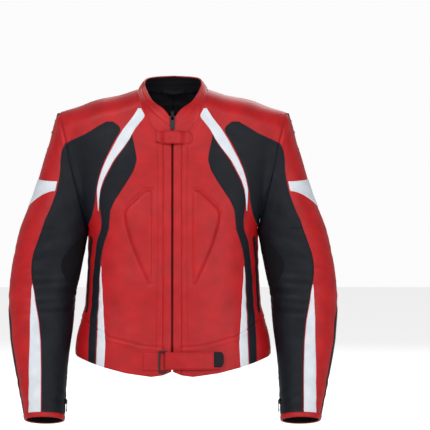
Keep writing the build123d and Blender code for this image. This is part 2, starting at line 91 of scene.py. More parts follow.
# sleeve: height, inner side, outer side, middle in depth, half depth
SLEEVE = [
    (-720, 229, 290, -79, 33), (-655, 225, 309, -57, 40), (-590, 223, 323, -38, 46), (-500, 214, 340, -16, 53),
    (-410, 205, 345, -3, 58), (-340, 191, 338, 2, 62), (-269, 178, 322, 4, 65), (-170, 168, 284, 5, 62),
    (-90, 160, 260, 5, 55), (-27, 150, 243, 5, 42),
]
ROUND = 2.5                      # exponent of the torso's rounded section
ARMPIT = (178.0, -269.0)
TIP = (239.0, -27.0)
SHOULDER = [(0, 110), (60, 36), (72, 23), (83, 20), (109, 12), (146, 4), (172, -4), (196, -13), (223, -21),
            (239, -27), (252, -56), (330, -230)]
NECKLINE = [(0, -84), (20, -77), (38, -60), (54, -36), (65, -8), (71, 12), (72, 23)]
BACK_NECK = [(0, 22), (30, 24), (52, 28), (66, 28), (72, 23)]
COLLAR_RIM = [(3, -42, -83), (17, -23, -77), (32, -12, -69), (43, -2, -56), (51, 12, -40), (57, 26, -22),
              (60, 38, -4), (59, 45, 18), (50, 50, 38), (30, 53, 52), (0, 55, 58)]
HEM_FRONT = [(0, -563), (20, -571), (43, -574), (95, -567), (140, -556), (170, -547), (200, -536), (207, -530)]
HEM_BACK = [(0, -568), (120, -562), (180, -545), (207, -530)]
BAND = -110.0                    # below this height the panels run level, above it they fan to the shoulder
CUFF = ((-108.0, -655.0), (-18.0, -678.0))   # y, z of the cuff's edge, front and back
NEAR_CUFF = -665                 # height at which the cuff's depth is read
HEM_LEVEL = -560                 # height at which the hem's width is read
SPLIT_Z = -350.0                 # the sleeve's visible pieces part here, above the elbow
STRETCH_TOP, STRETCH_TALL = -272, 140   # the stretch insert inside the arm
DIVE = 0.7                       # how far a lapped panel's edge goes below the leather that it lies on

# front outlines: height then distance from the middle, from top to bottom
STRIPE_IN = [(-19, 66), (-37, 54), (-42, 59), (-63, 76), (-84, 87), (-105, 102), (-126, 119), (-147, 131),
             (-168, 142), (-189, 149), (-235, 153.5)]
STRIPE_OUT = [(-19, 70), (-42, 86), (-63, 103), (-84, 116), (-105, 127), (-126, 138), (-147, 147), (-168, 153),
              (-189, 157), (-235, 154)]
BLACK_IN = [(-72, 84), (-84, 82), (-105, 76), (-126, 71), (-147, 76), (-168, 88), (-189, 102), (-210, 117),
            (-231, 127), (-252, 129), (-273, 131), (-294, 139), (-315, 145), (-336, 148), (-378, 151),
            (-420, 153), (-461, 155), (-504, 157), (-546, 159), (-580, 161)]
BLACK_OUT = [(-72, 84), (-84, 87), (-105, 102), (-126, 119), (-147, 131), (-168, 142), (-189, 149), (-212, 153),
             (-252, 147), (-273, 148), (-294, 157), (-336, 162), (-378, 166), (-450, 170), (-504, 173),
             (-580, 178)]
WAIST_IN = [(-346, 148), (-378, 146), (-420, 143), (-462, 140), (-504, 137), (-546, 139), (-580, 142)]
WAIST_OUT = [(-346, 149), (-378, 151), (-420, 153), (-461, 155), (-504, 157), (-546, 159), (-580, 161)]
CHEST_TOP = [(-47, 128), (-50, 119), (-56, 111), (-64, 105)]
CHEST_IN = CHEST_TOP + [(-84, 116), (-105, 127), (-126, 138), (-147, 147), (-168, 153), (-189, 157), (-212, 159),
                        (-240, 166), (-262, 175)]
CHEST_OUT = [(-47, 132), (-50, 141), (-56, 152), (-64, 164), (-76, 185), (-84, 206), (-92, 223), (-262, 182)]
BACK_STRIPE_IN = [(27, 44), (-27, 65), (-60, 83), (-96, 105), (-151, 136), (-205, 145)]
BACK_STRIPE_OUT = [(27, 70), (-27, 93), (-60, 112), (-96, 131), (-151, 148), (-205, 146)]
BACK_BLACK_IN = [(-92, 102), (-104, 97), (-135, 94), (-170, 104), (-215, 126), (-263, 137), (-310, 138), (-358, 141),
                 (-430, 152), (-580, 166)]
BACK_BLACK_OUT = [(-92, 103), (-104, 110), (-135, 127), (-151, 136), (-205, 146), (-263, 153), (-358, 160),
                  (-430, 166), (-580, 180)]
BACK_WAIST_IN = [(-305, 136), (-358, 134), (-430, 134), (-580, 137)]
BACK_WAIST_OUT = [(-305, 138), (-358, 141), (-430, 152), (-580, 164)]
BACK_CHEST_IN = [(-72, 117), (-96, 131), (-151, 148), (-205, 150), (-262, 174)]
BACK_CHEST_OUT = [(-72, 227), (-262, 180)]
ARM_BLACK = [(-80, 222), (-92, 223), (-100, 227), (-110, 231), (-126, 233), (-147, 233.5), (-168, 237),
             (-189, 241), (-210, 248), (-231, 256), (-252, 266), (-273, 273), (-294, 281), (-315, 289),
             (-336, 294), (-357, 295), (-378, 293), (-399, 288), (-420, 285), (-462, 277),
             (-504, 273), (-560, 271), (-700, 270)]
STRIPE_ARM = [(-384, 292), (-399, 294), (-450, 296), (-546, 298), (-640, 299), (-700, 299)]
CHEST_PAD = [(40, -188), (56, -188), (66, -197), (95, -225), (101, -238), (99, -258), (87, -300), (66, -350),
             (50, -384), (42, -384), (39, -340)]
BACK_OVAL = [(0, -22), (24, -27), (43, -46), (52, -77), (44, -106), (25, -126), (0, -132)]
BACK_RIBS = [
    [(0, -150), (22, -158), (38, -172)], [(0, -176), (44, -190), (60, -206)], [(0, -212), (52, -226), (80, -248)],
    [(0, -262), (60, -272), (86, -290)], [(0, -316), (56, -322), (94, -340)], [(0, -366), (58, -372), (96, -392)],
    [(0, -414), (58, -420), (94, -438)], [(0, -6), (34, -10), (62, -30)],
]
FRONT_SEAMS = [[(18, -60), (18, -575)], [(214, -452), (186, -458), (130, -494), (60, -511), (18, -514)]]
BACK_SEAMS = [[(0, -478), (90, -474), (214, -446)]]


RISING = {}                      # each table again, from its lowest row to its highest
SHEETS = {}                      # the finished sheets by name, for their twins on the other side


def at(table, height, column=1):
    """A table's value at a height, easing between its rows."""
    rows = RISING.setdefault(id(table), sorted(table))
    if height <= rows[0][0]:
        return rows[0][column]
    if height >= rows[-1][0]:
        return rows[-1][column]
    place = bisect.bisect_left(rows, (height,))
    low, high = rows[place - 1], rows[place]
    return low[column] + (high[column] - low[column]) * (height - low[0]) / (high[0] - low[0])


def eased(table, height, column=1):
    """The same, averaged over a short stretch so that the outline has no corners."""
    reach = 5.0
    return (at(table, height - reach, column) + 2 * at(table, height, column)
            + at(table, height + reach, column)) / 4


def smooth(value):
    """0 to 1 with a soft start and a soft end."""
    value = min(max(value, 0.0), 1.0)
    return value * value * (3 - 2 * value)


def arm_line(z):
    """Distance of the armhole seam from the middle, at a height."""
    return ARMPIT[0] + (z - ARMPIT[1]) / (TIP[1] - ARMPIT[1]) * (TIP[0] - ARMPIT[0])


# ------------------------------------------------------------ the garment's surface
def depth_at(x, z, back):
    """How far the surface stands from the side seams' plane at a place seen from the front."""
    half = eased(TORSO, z)
    deep = eased(TORSO, z, 3 if back else 2)
    share = min(x / half, 1.0)
    body = deep * max(1 - share ** ROUND, 0.0) ** (1 / ROUND) if x < half else -60.0
    if z < ARMPIT[1]:
        return max(body, 0.0)
    inner, outer = eased(SLEEVE, z), eased(SLEEVE, z, 2)
    middle, half_depth = eased(SLEEVE, z, 3), eased(SLEEVE, z, 4)
    across = (x - (inner + outer) / 2) / ((outer - inner) / 2)
    sleeve = half_depth * math.sqrt(max(1 - across * across, 0.0)) + (middle if back else -middle)
    if abs(across) > 1:
        sleeve = -60.0 * (abs(across) - 1)
    blend = 16.0 * min(1.0, max(body, sleeve, 0.0) / 40)
    near = max(blend - abs(body - sleeve), 0.0) / blend if blend > 0 else 0.0
    return max(body, sleeve) + near * near * blend / 4


def shoulder_taper(x, z):
    """1 on the body, falling to 0 at the top of the shoulder, so that front and back meet in a round."""
    reach = 44.0
    fall = (at(SHOULDER, x) - z) / reach
    if fall >= 1:
        return 1.0
    return math.sqrt(max(1 - (1 - max(fall, 0.0)) ** 2, 0.0))


def body_point(x, z, back):
    """A point of the torso or the shoulder cap, seen from the front at x, z."""
    middle = 5.0 * smooth((x - 150) / 90) if z > ARMPIT[1] else 0.0
    deep = depth_at(x, z, back)
    y = (deep if back else -deep) - middle
    return Vector((x, middle + y * shoulder_taper(x, z), z))


def sleeve_point(turn, z):
    """A point of the sleeve: turn 0 is the outer side, -90 the front, 90 the back, 180 the inner side."""
    inner, outer = eased(SLEEVE, z), eased(SLEEVE, z, 2)
    x = (inner + outer) / 2 + (outer - inner) / 2 * math.cos(math.radians(turn))
    if z > ARMPIT[1]:
        return body_point(x, z, turn > 0)
    y = eased(SLEEVE, z, 3) + eased(SLEEVE, z, 4) * math.sin(math.radians(turn))
    return Vector((x, y, z))


def turn_of(x, z):
    """The sleeve's turn, without its sign, where it is x from the middle of the jacket."""
    inner, outer = eased(SLEEVE, z), eased(SLEEVE, z, 2)
    across = (x - (inner + outer) / 2) / ((outer - inner) / 2)
    return math.degrees(math.acos(min(max(across, -1.0), 1.0)))


def line_distance(points, x, z):
    """Distance from a place to a line of points."""
    best = 1e9
    for (ax, az), (bx, bz) in zip(points, points[1:]):
        dx, dz = bx - ax, bz - az
        t = min(max(((x - ax) * dx + (z - az) * dz) / (dx * dx + dz * dz), 0.0), 1.0)
        best = min(best, math.hypot(x - ax - t * dx, z - az - t * dz))
    return best


def inside(points, x, z):
    """True inside a closed outline."""
    odd = False
    for (ax, az), (bx, bz) in zip(points, points[1:] + points[:1]):
        if (az > z) != (bz > z) and x < ax + (z - az) / (bz - az) * (bx - ax):
            odd = not odd
    return odd


def padded(points, x, z, height, round_off=9.0):
    """Height of a padded, stitched-round field: a soft crown inside, a groove at its edge."""
    low_x, high_x = min(p[0] for p in points) - 12, max(p[0] for p in points) + 12
    low_z, high_z = min(p[1] for p in points) - 12, max(p[1] for p in points) + 12
    if not (low_x < x < high_x and low_z < z < high_z):
        return 0.0
    away = line_distance(points + points[:1], x, z)
    groove = -2.3 * math.exp(-(away / 2.0) ** 2)
    return groove + (height * smooth(away / round_off) if inside(points, x, z) else 0.0)


def seam(points, x, z, depth=1.1, width=1.6):
    """Depth of a sewn seam's groove, with the leather swelling a little beside it."""
    away = line_distance(points, x, z)
    if away > 14:
        return 0.0
    return -depth * math.exp(-(away / width) ** 2) + 0.5 * math.exp(-((away - 5) / 3.5) ** 2)


def ripple(place, size, height):
    """Soft unevenness of hanging leather."""
    return height * noise.noise(Vector(place) / size)


def folds(x, z, seed, size=(70, 26), height=1.0):
    """Drag folds: noise drawn out along one direction."""
    return height * noise.noise(Vector((x / size[0], z / size[1], seed)))


def body_relief(x, z, back):
    """Everything that stands out of or sinks into the torso's smooth form."""
    relief = ripple((x, z, 40 if back else 0), 85, 2.2) + ripple((x, z, 90 if back else 70), 30, 0.5)
    waist = math.exp(-((z + 400) / 90) ** 2) * smooth((x - 90) / 80)
    relief += waist * folds(x + z * 0.5, z, 11, (80, 22), 2.6)
    relief += 1.6 * math.exp(-((z + 480) / 40) ** 2) * folds(x, z, 17, (28, 60), 1.2)
    relief += smooth((z + 300) / 80) * smooth((x - 120) / 60) * folds(x * 0.8 + z * 0.6, z, 23, (34, 80), 2.0)
    if back:
        relief += padded(BACK_OVAL + [(-px, pz) for px, pz in reversed(BACK_OVAL[1:-1])], x, z, 2.6)
        for rib in BACK_RIBS:
            away = line_distance(rib, x, z)
            relief += -1.5 * math.exp(-(away / 2.2) ** 2) + 1.3 * math.exp(-((away - 9) / 5.5) ** 2)
        for line in BACK_SEAMS:
            relief += seam(line, x, z)
    else:
        relief += padded(CHEST_PAD, x, z, 3.0)
        for line in FRONT_SEAMS:
            relief += seam(line, x, z)
    if z > ARMPIT[1] - 20:
        away = abs(x - arm_line(z))
        relief += -1.6 * math.exp(-(away / 2.2) ** 2) + 0.8 * math.exp(-((away - 6) / 4) ** 2)
    return relief * smooth((at(SHOULDER, x) - z + 12) / 16)


def sleeve_relief(turn, z):
    """The sleeve's creases: round the elbow, above the cuff and soft ones elsewhere."""
    point = sleeve_point(turn, z)
    if z > ARMPIT[1]:
        return body_relief(point.x, z, turn > 0)
    front = math.cos(math.radians(turn + 110))
    elbow = math.exp(-((z + 405) / 48) ** 2) * (0.35 + 0.65 * max(front, 0.0))
    relief = ripple(point, 60, 2.0) + ripple(point + Vector((9, 9, 9)), 24, 0.5)
    relief += elbow * folds(turn * 0.6, z + turn * 0.12, 31, (55, 15), 4.2)
    relief += math.exp(-((z + 610) / 45) ** 2) * folds(turn * 0.6, z - turn * 0.1, 37, (60, 16), 2.2)
    relief += math.exp(-((z + 300) / 40) ** 2) * folds(turn * 0.6, z + turn * 0.2, 41, (45, 18), 2.4)
    under = smooth((ARMPIT[1] - z) / 30)
    return relief * (0.35 + 0.65 * under)


# ------------------------------------------------------------ meshes
def linear(hex_colour):
    """sRGB hex to the linear colour that Blender's sockets take."""
    parts = [int(hex_colour[i:i + 2], 16) / 255 for i in (1, 3, 5)]
    return [p / 12.92 if p <= 0.04045 else ((p + 0.055) / 1.055) ** 2.4 for p in parts] + [1.0]


def surface_normal(form, u, v, step=0.004):
    """Outward normal of a form at u, v, from points just beside it."""
    across = form(min(u + step, 1), v) - form(max(u - step, 0), v)
    along = form(u, min(v + step, 1)) - form(u, max(v - step, 0))
    normal = across.cross(along)
    return normal.normalized() if normal.length > 1e-9 else Vector((0, -1, 0))


def linked(name, data):
    """A new object, put in the scene."""
    made = bpy.data.objects.new(name, data)
    bpy.context.scene.collection.objects.link(made)
    return made


def object_from(name, bm, soft=False):
    """Turns a bmesh into a named object; soft shades it smooth."""
    mesh = bpy.data.meshes.new(name)
    bm.to_mesh(mesh)
    bm.free()
    if soft:
        mesh.shade_smooth()
    return linked(name, mesh)


def stands(piece, body, slot, *nodes):
    """Says what a piece rides on and hides the CAD nodes that it stands for; slot is not used."""
    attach(piece, body)
    if nodes:
        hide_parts(*nodes)


def mirrored(name):
    """The right-hand twin of a finished left-hand sheet."""
    mesh = SHEETS[name.replace("right", "left")].data.copy()
    mesh.materials.clear()
    bm = bmesh.new()
    bm.from_mesh(mesh)
    bmesh.ops.scale(bm, vec=(-1, 1, 1), verts=bm.verts[:])
    bmesh.ops.reverse_faces(bm, faces=bm.faces[:])
    bm.to_mesh(mesh)
    bm.free()
    return linked(name, mesh)


def sheet_object(name, columns, rows, form, relief, side=1, lift=0.0, edge=0.0, span=(40.0, 40.0), open_edges=""):
    """A fine sheet of leather on a form, span mm across and along.

    Its edges dive by edge, so that a lapped panel is closed to what it lies on, except the open edges: l and r at
    u 0 and 1, b and t at v 0 and 1."""
    if side < 0:
        return mirrored(name)
    bm = bmesh.new()
    bmesh.ops.create_grid(bm, x_segments=columns, y_segments=rows, size=0.5, calc_uvs=True)
    uv = bm.loops.layers.uv.verify()
    for face in bm.faces:
        for loop in face.loops:
            u, v = loop.vert.co.x + 0.5, loop.vert.co.y + 0.5
            loop[uv].uv = (u * span[0] * MM, v * span[1] * MM)
    places = [(vert.co.x + 0.5, vert.co.y + 0.5) for vert in bm.verts]
    for vert, (u, v) in zip(bm.verts, places):
        vert.co = form(u, v)
    bm.normal_update()
    far = 99.0
    risen = []
    for vert, (u, v) in zip(bm.verts, places):
        border = min(far if "l" in open_edges else u * span[0], far if "r" in open_edges else (1 - u) * span[0],
                     far if "b" in open_edges else v * span[1], far if "t" in open_edges else (1 - v) * span[1])
        rise = lift - edge * (1 - smooth(border / 2.2)) + relief(u, v, vert.co)
        risen.append((vert.co + vert.normal * rise) * MM)
    for vert, place in zip(bm.verts, risen):
        vert.co = place
    bmesh.ops.remove_doubles(bm, verts=bm.verts[:], dist=0.00002)
    SHEETS[name] = object_from(name, bm, soft=True)
    return SHEETS[name]


def dressed(made, *materials, thickness=0.0, inner=None):
    """Gives a piece its materials and, if it is a sheet, its thickness inwards."""
    for material in materials:
        made.data.materials.append(material)
    if thickness:
        solid = made.modifiers.new("thickness", "SOLIDIFY")
        solid.thickness = thickness * MM
        solid.offset = -1
        solid.use_rim = True
        if inner:
            made.data.materials.append(inner)
            solid.material_offset = 1
    return made


def node(tree, kind, settings=None, links=None, **inputs):
    """Adds a node with its properties, its input values and its links."""
    made = tree.nodes.new(kind)
    for key, value in (settings or {}).items():
        setattr(made, key, value)
    return feed(tree, made, links, **inputs)


def feed(tree, made, links=None, **inputs):
    """Sets a node's input values and its links."""
    for key, value in inputs.items():
        made.inputs[key.replace("_", " ")].default_value = value
    for socket, source in (links or {}).items():
        tree.links.new(source, made.inputs[socket])
    return made


def start_material(name):
    """An empty material with its output and shader."""
    material = bpy.data.materials.get(name)
    if material:
        return material, None, None
    material = bpy.data.materials.new(name)
    material.use_nodes = True
    tree = material.node_tree
    return material, tree, tree.nodes["Principled BSDF"]


def leather(name, colour, dark, roughness, uv=True, grain_mm=1.5, bump=0.28, specular=0.3):
    """Drum-dyed, finished cowhide: an even colour with a soft grain, darker in its pores, and a satin face."""
    material, tree, shader = start_material(name)
    if tree is None:
        return material
    place = node(tree, "ShaderNodeTexCoord").outputs["UV" if uv else "Object"]
    pores = node(tree, "ShaderNodeTexVoronoi", {"feature": "DISTANCE_TO_EDGE"}, {"Vector": place},
                 Scale=1 / (grain_mm * MM), Randomness=1.0)
    soft = node(tree, "ShaderNodeTexNoise", None, {"Vector": place}, Scale=1 / (34 * MM), Detail=4.0)
    fine = node(tree, "ShaderNodeTexNoise", None, {"Vector": place}, Scale=1 / (0.8 * MM), Detail=3.0)
    edge = node(tree, "ShaderNodeMapRange", None, {"Value": pores.outputs["Distance"]},
                From_Min=0.0, From_Max=0.22, To_Min=0.0, To_Max=1.0)
    shade = node(tree, "ShaderNodeMapRange", None, {"Value": soft.outputs["Fac"]},
                 From_Min=0.3, From_Max=0.7, To_Min=0.0, To_Max=1.0)
    tone = node(tree, "ShaderNodeMix", {"data_type": "RGBA"}, {"Factor": shade.outputs["Result"]},
                A=linear(dark), B=linear(colour))
    worn = node(tree, "ShaderNodeMapRange", None, {"Value": fine.outputs["Fac"]},
                From_Min=0.2, From_Max=0.8, To_Min=roughness - 0.06, To_Max=roughness + 0.08)
    height = node(tree, "ShaderNodeMath", {"operation": "MULTIPLY_ADD"},
                  {0: fine.outputs["Fac"], 2: edge.outputs["Result"]})
    height.inputs[1].default_value = 0.5
    relief = node(tree, "ShaderNodeBump", None, {"Height": height.outputs["Value"]}, Strength=bump,
                  Distance=0.25 * MM)
    feed(tree, shader, {"Base Color": tone.outputs["Result"], "Roughness": worn.outputs["Result"],
                        "Normal": relief.outputs["Normal"]}, IOR=1.5, Specular_IOR_Level=specular)
    return material


def cloth(name, colour, light, thread_mm=1.6, uv=True, bump=0.5):
    """Woven polyester: crossing threads, matt, a little lighter on the thread crowns, where the light colour is a
    painted highlight.
    """
    material, tree, shader = start_material(name)
    if tree is None:
        return material
    place = node(tree, "ShaderNodeTexCoord").outputs["UV" if uv else "Object"]
    warp, weft = (node(tree, "ShaderNodeTexWave", {"bands_direction": direction}, {"Vector": place},
                       Scale=WAVE_SCALE / (thread_mm * MM)) for direction in ("X", "Y" if uv else "Z"))
    weave = node(tree, "ShaderNodeMath", {"operation": "MULTIPLY"},
                 {0: warp.outputs["Fac"], 1: weft.outputs["Fac"]})
    # painted highlight: the light colour is mixed in where the warp and weft crowns cross
    tone = node(tree, "ShaderNodeMix", {"data_type": "RGBA"}, {"Factor": weave.outputs["Value"]},
                A=linear(colour), B=linear(light))
    relief = node(tree, "ShaderNodeBump", None, {"Height": weave.outputs["Value"]}, Strength=bump,
                  Distance=0.2 * MM)
    feed(tree, shader, {"Base Color": tone.outputs["Result"], "Normal": relief.outputs["Normal"]},
         Roughness=0.85, Specular_IOR_Level=0.2)
    return material


def enamel(name, colour, metallic, roughness):
    """Enamelled zinc die casting: dark and smooth, with small scuffs that break its shine."""
    material, tree, shader = start_material(name)
    if tree is None:
        return material
    place = node(tree, "ShaderNodeTexCoord").outputs["Object"]
    scuffs = node(tree, "ShaderNodeTexNoise", None, {"Vector": place}, Scale=1 / (2.5 * MM), Detail=5.0)
    rough = node(tree, "ShaderNodeMapRange", None, {"Value": scuffs.outputs["Fac"]},
                 From_Min=0.3, From_Max=0.7, To_Min=roughness - 0.08, To_Max=roughness + 0.12)
    relief = node(tree, "ShaderNodeBump", None, {"Height": scuffs.outputs["Fac"]}, Strength=0.1,
                  Distance=0.1 * MM)
    feed(tree, shader, {"Roughness": rough.outputs["Result"], "Normal": relief.outputs["Normal"]},
         Base_Color=linear(colour), Metallic=metallic)
    return material


def colours():
    """The colours set in the sidebar."""
    return bpy.context.scene.jacket_colours


def red():
    """The red hide: satin, with highlights that follow its folds."""
    return leather("red_finished_cowhide", colours().red, colours().red_dark, 0.44)


def black():
    """The black hide: the same grain, with a weaker gloss so that it stays dark."""
    return leather("black_finished_cowhide", colours().black, colours().black_dark, 0.46, specular=0.17)


def white():
    """The white hide: smoother than the others, like a pigment-coated face."""
    return leather("white_finished_cowhide", colours().white, colours().white_dark, 0.42, bump=0.2)


def stretch():
    """The stretch inserts: matt and near black, so that they recede beside the leather."""
    # 15131A is the painted highlight on the thread crowns
    return cloth("black_ribbed_stretch_cloth", "#0B0A0E", "#15131A", 2.2)


def lining():
    """The lining: a plain dark weave, seen in the neck and the cuffs."""
    # 1E1E24 is the painted highlight on the thread crowns
    return cloth("black_polyester_lining", "#101014", "#1E1E24", 1.2)


def zip_cloth():
    """The zips' tape: a fine, tight weave."""
    # 1F1F25 is the painted highlight on the thread crowns
    return cloth("black_woven_zip_tape", "#0F0F13", "#1F1F25", 0.9)


FINISHES = {"red_leather": red, "black_leather": black, "white_leather": white, "black_textile": stretch}



# ------------------------------------------------------------ forms: where each panel's u, v lies
def across(x_in, x_out, z, u):
    """Distance from the middle between two outlines, spaced evenly round the body rather than in front view."""
    half = eased(TORSO, z)
    start = math.asin(min(max(x_in / half, 0.0), 1.0) ** (ROUND / 2))
    end = math.asin(min(max(x_out / half, 0.0), 1.0) ** (ROUND / 2))
    return half * math.sin(start + (end - start) * u) ** (2 / ROUND)


def side_edge(z):
    """The torso panels' outer limit: the side seam, or the armhole above the armpit."""
    return eased(TORSO, z) if z < ARMPIT[1] else min(arm_line(z), eased(TORSO, z))


def base_form(x_in, x_out, back):
    """A full-height torso panel from the hem to the neck or shoulder. x_out None runs to the side."""
    level_share = 0.78
    hem, neck = (HEM_BACK, BACK_NECK) if back else (HEM_FRONT, NECKLINE)

    def limit(z):
        return side_edge(z) if x_out is None else x_out

    def form(u, v):
        u = 1 - u if back else u
        if v <= level_share:
            low = at(hem, across(x_in, limit(HEM_LEVEL), HEM_LEVEL, u))
            z = low + (BAND - low) * v / level_share
            return body_point(across(x_in, limit(z), z, u), z, back)
        share = (v - level_share) / (1 - level_share)
        foot = across(x_in, limit(BAND), BAND, u)
        head = x_in + ((TIP[0] if x_out is None else x_out) - x_in) * (foot - x_in) / (limit(BAND) - x_in)
        top = at(neck, head) if head < 72 else at(SHOULDER, head)
        return body_point(foot + (head - foot) * share, BAND + (top - BAND) * share, back)
    return form


def lapped_form(inner, outer, low, high, back, hem=True):
    """A panel lapped onto the torso, between two outlines and two heights; it may end at the hem."""
    hems = HEM_BACK if back else HEM_FRONT

    def form(u, v):
        u = 1 - u if back else u
        x_low = eased(inner, low) + (eased(outer, low) - eased(inner, low)) * u
        foot = max(low, at(hems, x_low)) if hem else low
        z = foot + (high - foot) * v
        start, end = eased(inner, z), eased(outer, z)
        if z > ARMPIT[1]:
            end = min(end, arm_line(z))
        return body_point(across(start, max(end, start), z, u), z, back)
    return form


def cuff_height(y):
    """Height of the cuff's sloping edge."""
    (front_y, front_z), (back_y, back_z) = CUFF
    return front_z + (back_z - front_z) * (y - front_y) / (back_y - front_y)


def sleeve_form(start_turn, end_turn, low, high):
    """A sleeve panel between two turns, given as functions of height, and two heights.

    A low of None is the cuff's edge."""
    def form(u, v):
        turn = start_turn(-660) + (end_turn(-660) - start_turn(-660)) * u
        foot = low if low is not None else cuff_height(sleeve_point(turn, NEAR_CUFF).y)
        z = foot + (high - foot) * v
        turn = start_turn(z) + (end_turn(z) - start_turn(z)) * u
        return sleeve_point(turn, z)
    return form


def armhole_turn(z):
    """Turn at which the sleeve meets the armhole; all the way round below the armpit."""
    return turn_of(arm_line(z), z) if z > ARMPIT[1] else 180.0


def front_edge(z):
    """Turn of the front edge between the sleeve's black and red leather."""
    return -min(turn_of(eased(ARM_BLACK, z), z), armhole_turn(z))


def stripe_edge(z):
    """Turn of the outer edge of the forearm's white stripe."""
    return -turn_of(eased(STRIPE_ARM, z), z)


def back_edge(z):
    """Turn of the back edge between red and black: it comes round to the front on the forearm."""
    return 8.0 - 31.0 * smooth((-405 - z) / 60) + 6.0 * smooth((-570 - z) / 60)


BODY_RELIEF = {
    False: lambda u, v, p: body_relief(p.x, p.z, False),
    True: lambda u, v, p: body_relief(p.x, p.z, True),
}


def arm_relief(start_turn, end_turn):
    """Relief of a sleeve panel, from the turn that its u, v has at a height."""
    def relief(u, v, p):
        turn = start_turn(p.z) + (end_turn(p.z) - start_turn(p.z)) * u
        return sleeve_relief(turn, p.z)
    return relief


def name_of(side):
    """The word for a side in names."""
    return "left" if side > 0 else "right"


def finish_arm(made, upper):
    """Bakes a sleeve piece's placement into its mesh, on the upper arm and below the elbow alike."""
    if upper:
        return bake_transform(made)
    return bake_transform(made)


# ------------------------------------------------------------ sewing
def stitches(name, path, side, every=4.0, length=2.7):
    """Topstitching: a short raised thread every few millimetres along a path of (point, normal)."""
    bm = bmesh.new()
    gone, wanted = 0.0, every / 2
    for (a, na), (b, _) in zip(path, path[1:]):
        run = (b - a).length
        while run > 1e-6 and wanted <= gone + run:
            spot = a + (b - a) * ((wanted - gone) / run) + na * 0.25
            made = bmesh.ops.create_cube(bm, size=1.0)
            along = (b - a).normalized()
            beside = na.cross(along).normalized()
            for vert in made["verts"]:
                end = 0.55 if abs(vert.co.x) > 0.4 and vert.co.z > 0 else 1.0
                place = spot + along * vert.co.x * length * end + beside * vert.co.y * 0.8 + na * vert.co.z * 0.7
                vert.co = Vector((place.x * side, place.y, place.z)) * MM
            wanted += every
        gone += run
    if side < 0:
        bmesh.ops.reverse_faces(bm, faces=bm.faces[:])
    return object_from(name, bm)


def sew(name, path, side, material, body, slot):
    """Topstitching as a piece of its own, with its thread."""
    sewn = stitches(name, path, side)
    sewn.data.materials.append(material)
    stands(sewn, body, slot)


def path_on(form, relief, places, lift):
    """A path on a form through u, v places, with the surface's normals."""
    path = []
    for u, v in places:
        point, normal = form(u, v), surface_normal(form, u, v)
        path.append((point + normal * (lift + relief(u, v, point)), normal))
    return path


def thread(colour_name, colour):
    """Bonded nylon thread: a fine twist that stands out as a dotted line."""
    return cloth(f"bonded_nylon_thread_{colour_name}", colour, colour, 0.5, uv=False, bump=0.2)


class JacketColours(bpy.types.PropertyGroup):
    """Colours of the jacket's leathers."""
    red: bpy.props.StringProperty(name="Red", description="Colour of the red leather", default="#BE151B")
    red_dark: bpy.props.StringProperty(name="Red, deep", description="Red leather where the dye is deeper",
                                       default="#A60F15")
    black: bpy.props.StringProperty(name="Black", description="Colour of the black leather", default="#161A22")
    black_dark: bpy.props.StringProperty(name="Black, deep", description="Black leather where the dye is deeper",
                                         default="#0F1218")
    white: bpy.props.StringProperty(name="White", description="Colour of the white leather", default="#E4E8EE")
    white_dark: bpy.props.StringProperty(name="White, deep", description="White leather in its soiled hollows",
                                         default="#CFD5DE")


class JacketSizes(bpy.types.PropertyGroup):
    """Sizes of the jacket's sewing."""
    leather: bpy.props.FloatProperty(name="Leather", description="Thickness of leather and lining", default=0.0022,
                                     subtype="DISTANCE", unit="LENGTH")
    lap: bpy.props.FloatProperty(name="Lap", description="How far a lapped panel stands out", default=0.0009,
                                 subtype="DISTANCE", unit="LENGTH")


class JACKET_OT_body(bpy.types.Operator):
    """Makes the red torso: plackets, fronts and back"""
    bl_idname = "jacket.body"
    bl_label = "Body"

    def execute(self, context):
        leather_mm = context.scene.jacket_sizes.leather / MM
        for side in SIDES:
            word = name_of(side)
            panels = (
                # name, columns and rows, inner and outer edge, back, lift and edge, span, CAD nodes
                ("placket", (10, 240), 1.6, 19.5, False, (0.8, 1.0), (18, 500), (f"placket_{word}",)),
                ("front", (110, 250), 18.0, None, False, (0.0, 0.0), (230, 520),
                 (f"front_panel_{word}", f"front_hem_band_{word}")),
                ("back", (110, 250), 0.0, None, True, (0.0, 0.0), (240, 560),
                 ("back_panel", "side_panels", "shoulder_yokes", "back_pad", "chest_pads")),
            )
            for title, size, inner, outer, back, (lift, edge), span, nodes in panels:
                piece = sheet_object(f"{title}_{word}", *size, base_form(inner, outer, back), BODY_RELIEF[back],
                                     side, lift=lift, edge=edge, span=span)
                dressed(piece, red(), thickness=leather_mm, inner=lining())
                stands(piece, "torso", "red_leather", *nodes)
        return {"FINISHED"}


BODY_LAPS = {
    # name, which is the CAD node's too: inner and outer outline, lowest, highest, back, columns and rows, slot
    "chest_stripe": (STRIPE_IN, STRIPE_OUT, -234, -20, False, (16, 130), "white_leather"),
    "chest_black": (BLACK_IN, BLACK_OUT, -580, -74, False, (36, 250), "black_leather"),
    "waist_stripe": (WAIST_IN, WAIST_OUT, -580, -347, False, (8, 110), "white_leather"),
    "shoulder_black": (CHEST_IN, CHEST_OUT, -262, -47, False, (40, 110), "black_leather"),
    "back_stripe": (BACK_STRIPE_IN, BACK_STRIPE_OUT, -204, 26, True, (16, 120), "white_leather"),
    "back_black": (BACK_BLACK_IN, BACK_BLACK_OUT, -580, -93, True, (30, 240), "black_leather"),
    "back_waist_stripe": (BACK_WAIST_IN, BACK_WAIST_OUT, -580, -306, True, (14, 130), "white_leather"),
    "back_shoulder_black": (BACK_CHEST_IN, BACK_CHEST_OUT, -262, -74, True, (50, 90), "black_leather"),
}
# the laps' edges that run on under a neighbour and so stay up
OPEN_LAPS = {"shoulder_black": "r", "back_shoulder_black": "l", "chest_black": "b", "waist_stripe": "b",
             "back_black": "b", "back_waist_stripe": "b"}


